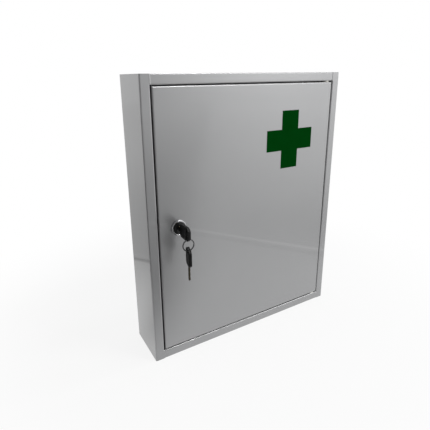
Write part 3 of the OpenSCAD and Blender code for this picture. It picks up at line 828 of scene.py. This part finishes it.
def makeSprings(s):
    low, high = boxOf("wafer_springs")
    outer = high.x - low.x
    height = high.z - low.z
    pitch = (high.y - low.y - outer) / (s["count"] - 1)
    tree, ids, start = startTree("springRow", {
        "Radius": "Float", "Height": "Float", "Turns": "Float", "Wire": "Float", "Count": "Int",
        "Pitch": "Float",
    })
    coil = start.node("GeometryNodeCurveSpiral", {}, {
        "Resolution": s["perTurn"], "Rotations": start.out("Turns"), "Start Radius": start.out("Radius"),
        "End Radius": start.out("Radius"), "Height": start.out("Height"),
    })
    wire = start.node("GeometryNodeCurvePrimitiveCircle", {}, {
        "Resolution": s["wireSides"], "Radius": start.out("Wire") / 2,
    })
    tube = swept(coil, wire)
    step = start.node("ShaderNodeCombineXYZ", {}, {"Y": start.out("Pitch")})
    row = start.node("GeometryNodeMeshLine", {}, {"Count": start.out("Count"), "Offset": step})
    coils = start.node("GeometryNodeInstanceOnPoints", {}, {"Points": row, "Instance": tube})
    closeTree(coils, finishes["zinc_steel"])
    mesh = grown("waferSprings", tree, ids, {
        "Radius": (outer - s["wire"]) / 2, "Height": height - s["wire"], "Turns": s["turns"],
        "Wire": s["wire"], "Count": s["count"], "Pitch": pitch,
    })
    foot = Vector(((low.x + high.x) / 2, low.y + outer / 2, low.z + s["wire"] / 2))
    settle("waferSprings", mesh, "wafer_springs", Matrix.Translation(foot), sharp=60)


ring = {
    "jog": 0.16,  # half the crossover's angle, in radians
    "steps": 220,
    "ease": 0.16,
    "easeSteps": 3,
    "gap": 0.03,
}


# The split ring: two flat turns of wire that lie against each other, with a crossover between them
def makeRing(s):
    low, high = boxOf("key_ring")
    wire = high.y - low.y
    radius = (high.x - low.x - wire) / 2
    tree, ids, start = startTree("splitRing", {
        "Radius": "Float", "Wire": "Float", "Gap": "Float", "Jog": "Float", "Steps": "Int", "Ease": "Float",
    })
    line = start.node("GeometryNodeCurvePrimitiveLine")
    path = start.node("GeometryNodeResampleCurve", {}, {"Curve": line, "Count": start.out("Steps")})
    along = start.node("GeometryNodeSplineParameter").out("Factor")
    jog = start.out("Jog")
    angle = jog + along * (4 * math.pi - 2 * jog)
    over = angle.eased(2 * math.pi - jog, 2 * math.pi + jog)
    step = start.out("Wire") / 2
    place = start.node("ShaderNodeCombineXYZ", {}, {
        "X": start.out("Radius") * angle.math("COSINE", angle),
        "Y": start.out("Radius") * angle.math("SINE", angle),
        "Z": (over - 0.5) * step,
    })
    bent = start.node("GeometryNodeSetPosition", {}, {"Geometry": path, "Position": place})
    level = start.node("GeometryNodeSetCurveNormal", {"mode": "Z_UP"}, {"Curve": bent})
    bar = start.node("GeometryNodeCurvePrimitiveQuadrilateral", {}, {
        "Width": start.out("Wire"), "Height": step - start.out("Gap"),
    })
    bar = start.node("GeometryNodeFilletCurve", {"mode": "POLY"}, {
        "Curve": bar, "Count": s["easeSteps"], "Radius": start.out("Ease"),
    })
    closeTree(swept(level, bar), finishes["spring_steel"])
    mesh = grown("splitRing", tree, ids, {
        "Radius": radius, "Wire": wire, "Gap": s["gap"], "Jog": s["jog"], "Steps": s["steps"],
        "Ease": s["ease"],
    })
    centre = (low + high) / 2
    place = Matrix.Translation(centre) @ Matrix.Rotation(math.radians(90), 4, "X")
    settle("splitRing", mesh, "key_ring", place, sharp=50)


keyBow = {
    "cutOut": 4.7,  # cut corners at the outer end
    "cutIn": 4.0,  # and at the blade
    "cornerEase": 1.8,
    "easeLoss": 0.6,  # how much smaller that gets for each millimetre further in
    "edge": 0.9,
    "edgeSteps": 4,
    "slotIn": 5.0,
    "slotWidth": 3.5,
    "slotLength": 17.0,
    "slotEase": 0.15,
    "slotBend": 0.3,  # share of the ease at its middle
    "slotSteps": 12,
    "line": 0.16,  # the mould's parting line round the edge
    "panel": (-17.5, -4.0, 6.2),  # sunk panel: from, to, half its height
    "panelEase": 1.6,
    "panelDepth": 0.35,
    "rootPlay": 0.1,  # round the blade's root in its pocket
    "past": 1,  # how far the pocket's cutter reaches out of the bow
}


def pulledIn(corners, amount):  # the outline moved in on all sides; its corners run anticlockwise
    lines = []
    for i, corner in enumerate(corners):
        ahead = Vector(corners[(i + 1) % len(corners)]) - Vector(corner)
        normal = Vector((-ahead.y, ahead.x)).normalized()
        lines.append((Vector(corner) + normal * amount, ahead))
    points = []
    for i in range(len(corners)):
        (a, u), (b, v) = lines[i - 1], lines[i]
        t = (b - a).cross(v) / u.cross(v)
        points.append(a + u * t)
    return points


def slotLoop(s, grow):  # the slot's outline round its own middle, larger by grow on all sides
    r = s["slotWidth"] / 2 + grow
    reach = (s["slotLength"] - s["slotWidth"]) / 2
    points = []
    for side in (1, -1):
        for k in range(s["slotSteps"] + 1):
            angle = math.pi * k / s["slotSteps"] + (0 if side > 0 else math.pi)
            points.append((r * math.cos(angle), side * reach + r * math.sin(angle)))
    return points


def joinLoops(bm, loops):  # a skin through loops that all have the same number of points
    for low, high in zip(loops, loops[1:]):
        for k in range(len(low)):
            n = (k + 1) % len(low)
            bm.faces.new((low[k], low[n], high[n], high[k]))


def makeBow(name, node, s, size, blade, place):
    length, width, thickness = size
    half = thickness / 2
    h = width / 2
    corners = [
        (0, h - s["cutIn"]), (-s["cutIn"], h), (-length + s["cutOut"], h), (-length, h - s["cutOut"]),
        (-length, -h + s["cutOut"]), (-length + s["cutOut"], -h), (-s["cutIn"], -h), (0, -h + s["cutIn"]),
    ]
    upper = []
    for k in range(s["edgeSteps"] + 1):
        turn = math.pi / 2 * k / s["edgeSteps"]
        upper.append((half - s["edge"] * (1 - math.sin(turn)), s["edge"] * (1 - math.cos(turn))))
    line = s["line"]
    profile = [(-z, inset) for z, inset in reversed(upper)] + [(-line, 0), (0, line), (line, 0)] + upper
    bm = bmesh.new()

    def loop(points, z):
        return [bm.verts.new((p.x, p.y, z)) for p in points]

    def outline(inset):
        pulled = pulledIn(corners, inset)
        return eased([(p.x, p.y, s["cornerEase"] - s["easeLoss"] * inset) for p in pulled])

    outside = [loop(outline(inset), z) for z, inset in profile]
    joinLoops(bm, outside)
    slotX = -length + s["slotIn"]
    ease = s["slotEase"]
    bend = s["slotBend"] * ease
    rise = [(half - ease, 0), (half - bend, bend), (half, ease)]
    slot = []
    for z, grow in [(-z, grow) for z, grow in reversed(rise)] + rise:
        slot.append(loop([Vector((slotX + x, y)) for x, y in slotLoop(s, grow)], z))
    joinLoops(bm, slot)
    panelFrom, panelTo, panelHigh = s["panel"]
    for side, rim, hole in ((-1, outside[0], slot[0]), (1, outside[-1], slot[-1])):
        panel = []
        for drop, inset in ((0, 0), (s["panelDepth"], s["panelDepth"])):
            box = [(panelFrom + inset, -panelHigh + inset), (panelTo - inset, -panelHigh + inset),
                   (panelTo - inset, panelHigh - inset), (panelFrom + inset, panelHigh - inset)]
            points = eased([(x, y, s["panelEase"] - inset) for x, y in box])
            panel.append(loop(points, side * (half - drop)))
        joinLoops(bm, panel)
        bm.faces.new(panel[1])
        edges = []
        for points in (rim, hole, panel[0]):
            for k, point in enumerate(points):
                other = points[(k + 1) % len(points)]
                edges.append(bm.edges.get((point, other)) or bm.edges.new((point, other)))
        bmesh.ops.triangle_fill(bm, edges=edges, use_beauty=True, normal=(0, 0, side))
    reach = (blade + Vector((0, s["rootPlay"], s["rootPlay"])) * 2) / 2
    pocket = brick((-keyBlade["root"] - s["rootPlay"], -reach.y, -reach.z), (s["past"], reach.y, reach.z))
    mesh = cutAway(meshOf(name, bm), meshOf("pocket", pocket))
    settle(name, mesh, node, place, sharp=28)


keyBlade = {
    "tip": 2.0,  # height of the blunt end
    "firstCut": 3.5,
    "cutWidth": 2.2,
    "cutFloor": 0.8,
    "cutDepth": 0.9,
    "cuts": 5,
    "root": 8.0,  # how far it goes into the bow
    "edge": 0.22,
    "groove": 0.45,  # depth of the groove on each side
    "grooveWidth": 1.5,
    "grooveUp": 0.9,
    "grooveSlope": 0.3,
}


def makeBlade(name, node, s, size, place):
    length, width, thickness = size
    point = (width - s["tip"]) / 2
    step = (length - point - s["firstCut"]) / (s["cuts"] - 0.5)  # half a step stays bare before the point
    cuts = [s["firstCut"] + i * step for i in range(s["cuts"])]
    stations = {-s["root"], length - point, length}
    for x in cuts:
        for across in (s["cutWidth"] / 2, s["cutFloor"] / 2):
            stations |= {x - across, x + across}

    def edgeAt(x, side):  # half height of the blade at x, on its upper (0) or lower (1) edge
        high = min(width / 2, s["tip"] / 2 + length - x)
        for cut in cuts[side::2]:
            slope = (s["cutWidth"] - s["cutFloor"]) / 2
            share = (s["cutWidth"] / 2 - abs(x - cut)) / slope
            high = min(high, width / 2 - s["cutDepth"] * min(max(share, 0), 1))
        return high

    bm = bmesh.new()
    loops = []
    half = thickness / 2
    e = s["edge"]
    for x in sorted(stations):
        top, bottom = edgeAt(x, 0), -edgeAt(x, 1)
        reach = s["grooveUp"] + s["grooveWidth"] / 2
        near = min(1, (min(top, -bottom) - 2 * e) / reach)  # the groove narrows with the blade
        far = near * (s["grooveUp"] - s["grooveWidth"] / 2)
        near = near * reach
        slope = min(s["grooveSlope"], (near - far) / 3)
        deep = half - s["groove"]
        section = [
            (top, half - e), (top - e, half),
            (near, half), (near - slope, deep), (far + slope, deep), (far, half),
            (bottom + e, half), (bottom, half - e), (bottom, -half + e), (bottom + e, -half),
            (-near, -half), (-near + slope, -deep), (-far - slope, -deep), (-far, -half),
            (top - e, -half), (top, -half + e),
        ]
        loops.append([bm.verts.new((x, y, z)) for y, z in section])
    joinLoops(bm, loops)
    bm.faces.new(loops[0])
    bm.faces.new(loops[-1])
    settle(name, meshOf(name, bm), node, place, sharp=25)


spareTurn = -14  # how the spare key hangs, in degrees about the vertical


def makeKeys():
    low, high = boxOf("key_bow")
    bow = Vector((high.y - low.y, high.z - low.z, high.x - low.x))
    bladeLow, bladeHigh = boxOf("key_blade")
    blade = Vector((bladeHigh.y - high.y, bladeHigh.z - bladeLow.z, bladeHigh.x - bladeLow.x))
    place = Matrix.Translation((lockAxis.x, high.y, lockAxis.z))
    place = place @ Matrix(((0, 0, 1, 0), (1, 0, 0, 0), (0, 1, 0, 0), (0, 0, 0, 1)))  # blade +Y, upright
    makeBow("keyBow", "key_bow", keyBow, bow, blade, place)
    makeBlade("keyBlade", "key_blade", keyBlade, blade, place)
    pivot = pivots["spare_key_swing"]
    low, high = boxOf("spare_key_bow")
    place = Matrix.Translation((pivot.x, pivot.y, high.z - bow.x))
    place = place @ Matrix.Rotation(math.radians(spareTurn), 4, "Z")
    place = place @ Matrix(((0, 0, 1, 0), (0, 1, 0, 0), (-1, 0, 0, 0), (0, 0, 0, 1)))  # blade down
    makeBow("spareBow", "spare_key_bow", keyBow, bow, blade, place)
    makeBlade("spareBlade", "spare_key_blade", keyBlade, blade, place)


hinge = {
    "pin": 4.0,
    "pinEase": 0.6,
    "headEase": 0.5,
    "headFoot": 0.15,
    "bore": 4.1,
    "body": 6.9,
    "collar": 1.2,
    "bushEase": 0.25,
    "bushFoot": 0.1,
    "plateEase": 0.35,
    "steps": 48,
}


def makeHinge(side, s):
    flip = 1 if side == "lower" else -1  # the upper parts stand on their heads

    def standing(box):  # length, radius, foot and place of a turned part
        low, high = box
        foot = low.z if flip > 0 else high.z
        place = Matrix.Translation((hingeAxis.x, hingeAxis.y, foot)) @ Matrix.Diagonal((1, flip, flip, 1))
        return high.z - low.z, (high.x - low.x) / 2, foot, place

    length, head, foot, place = standing(boxOf(side + "_hinge_pin"))
    plate = boxOf(side + "_hinge_plate")
    shank = plate[1].z - foot if flip > 0 else foot - plate[0].z
    pin = s["pin"] / 2
    section = eased([(0, 0, 0), (pin, 0, s["pinEase"]), (pin, shank, 0), (head, shank, s["headFoot"]),
                     (head, length, s["headEase"]), (0, length, 0)])
    mesh = meshOf("hingePin", turned(section, s["steps"]))
    settle(side + "HingePin", mesh, side + "_hinge_pin", place)
    height, collar, foot, place = standing(boxOf(side + "_hinge_bush"))
    bore, body = s["bore"] / 2, s["body"] / 2
    neck = height - s["collar"]
    section = eased([(bore, height, s["bushEase"]), (bore, 0, s["bushFoot"]), (body, 0, s["bushEase"]),
                     (body, neck, 0), (collar, neck, s["bushFoot"]), (collar, height, s["bushEase"])])
    mesh = meshOf("hingeBush", turned(section, s["steps"]))
    settle(side + "HingeBush", mesh, side + "_hinge_bush", place)
    softened(side + "HingePlate", side + "_hinge_plate", s["plateEase"])


buffers = {"dome": 1.5, "domeSteps": 5, "footEase": 0.3, "steps": 32}


def makeBuffers(s):
    low, high = boxOf("door_buffers")
    radius = (high.x - low.x) / 2
    height = high.y - low.y
    outline = [(0, 0, 0), (radius, 0, s["footEase"]), (radius, height, s["dome"]), (0, height, 0)]
    bm = turned(eased(outline, s["domeSteps"]), s["steps"])
    other = bmesh.ops.duplicate(bm, geom=list(bm.verts) + list(bm.edges) + list(bm.faces))
    moved = [v for v in other["geom"] if isinstance(v, bmesh.types.BMVert)]
    bmesh.ops.translate(bm, verts=moved, vec=(0, high.z - low.z - 2 * radius, 0))
    turn = Matrix(((1, 0, 0, 0), (0, 0, -1, 0), (0, 1, 0, 0), (0, 0, 0, 1)))  # up becomes forward
    place = Matrix.Translation(((low.x + high.x) / 2, high.y, low.z + radius)) @ turn
    settle("doorBuffers", meshOf("doorBuffers", bm), "door_buffers", place)


seam = {
    "fromMiddle": 163.1,  # where the top rail meets the stiles
    "foot": 0.4,  # above the rail's lower edge
    "rail": 14.0,
    "fold": 1.2,  # outer radius of the fold that the seam ends on
    "foldAngle": 46,  # how far over the fold it runs, still below the cabinet's top
    "width": 1.8,
    "height": 0.4,
    "crest": -0.6,  # where it is highest, from -1 at its left edge to 1
    "sunk": 0.25,  # how far it goes into the sheet
    "endShare": 0.35,  # how wide and high its ends are
    "steps": 8,
}


# The dressed welds at both ends of the top rail: low beads that run up over its fold
def makeSeams(s):
    front = boxOf("left_side")[0].y
    top = boxOf("left_side")[1].z
    centre = Vector((0, front + s["fold"], top - s["fold"]))
    path = []
    for k in range(s["steps"] + 1):
        z = top - s["rail"] + s["foot"] + (s["rail"] - s["foot"] - s["fold"]) * k / s["steps"]
        path.append((Vector((0, front, z)), Vector((0, -1, 0))))
    for k in range(1, s["steps"] + 1):
        angle = math.radians(s["foldAngle"]) * k / s["steps"]
        out = Vector((0, -math.cos(angle), math.sin(angle)))
        path.append((centre + out * s["fold"], out))
    bm = bmesh.new()
    for side in (-1, 1):
        rings = []
        for i, (point, out) in enumerate(path):
            taper = s["endShare"] if i in (0, len(path) - 1) else 1
            ring = []
            for k in range(s["steps"] + 1):
                share = 1 - 2 * k / s["steps"]
                rise = min((1 - share) / (1 - s["crest"]), (1 + share) / (1 + s["crest"]))
                across = side * s["fromMiddle"] + s["width"] / 2 * taper * share
                place = point + out * (s["height"] * taper * rise)
                ring.append(bm.verts.new((across, place.y, place.z)))
            for across in (-1, 1):
                place = point - out * s["sunk"]
                x = side * s["fromMiddle"] + across * s["width"] / 2 * taper
                ring.append(bm.verts.new((x, place.y, place.z)))
            rings.append(ring)
        joinLoops(bm, rings)
        bm.faces.new(rings[0])
        bm.faces.new(rings[-1])
    piece = dressed("railSeams", meshOf("railSeams", bm), None, "grey_paint", sharp=60)
    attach(piece, "cabinet")


makeBezel(bezel)
makeBarrel(barrel)
makeNut(nut)
makeCamScrew(camScrew)
makeCamWasher(camWasher)
softened("lockPlug", "lock_plug", width=0.12)
softened("lockCam", "lock_cam", width=0.3)
makeSprings(springs)
print("lock made")
makeRing(ring)
makeKeys()
print("keys made")
for side in ("upper", "lower"):
    makeHinge(side, hinge)
makeBuffers(buffers)
softened("doorStops", "door_stops", width=0.2)
makeSeams(seam)
print("hinges and stops made")
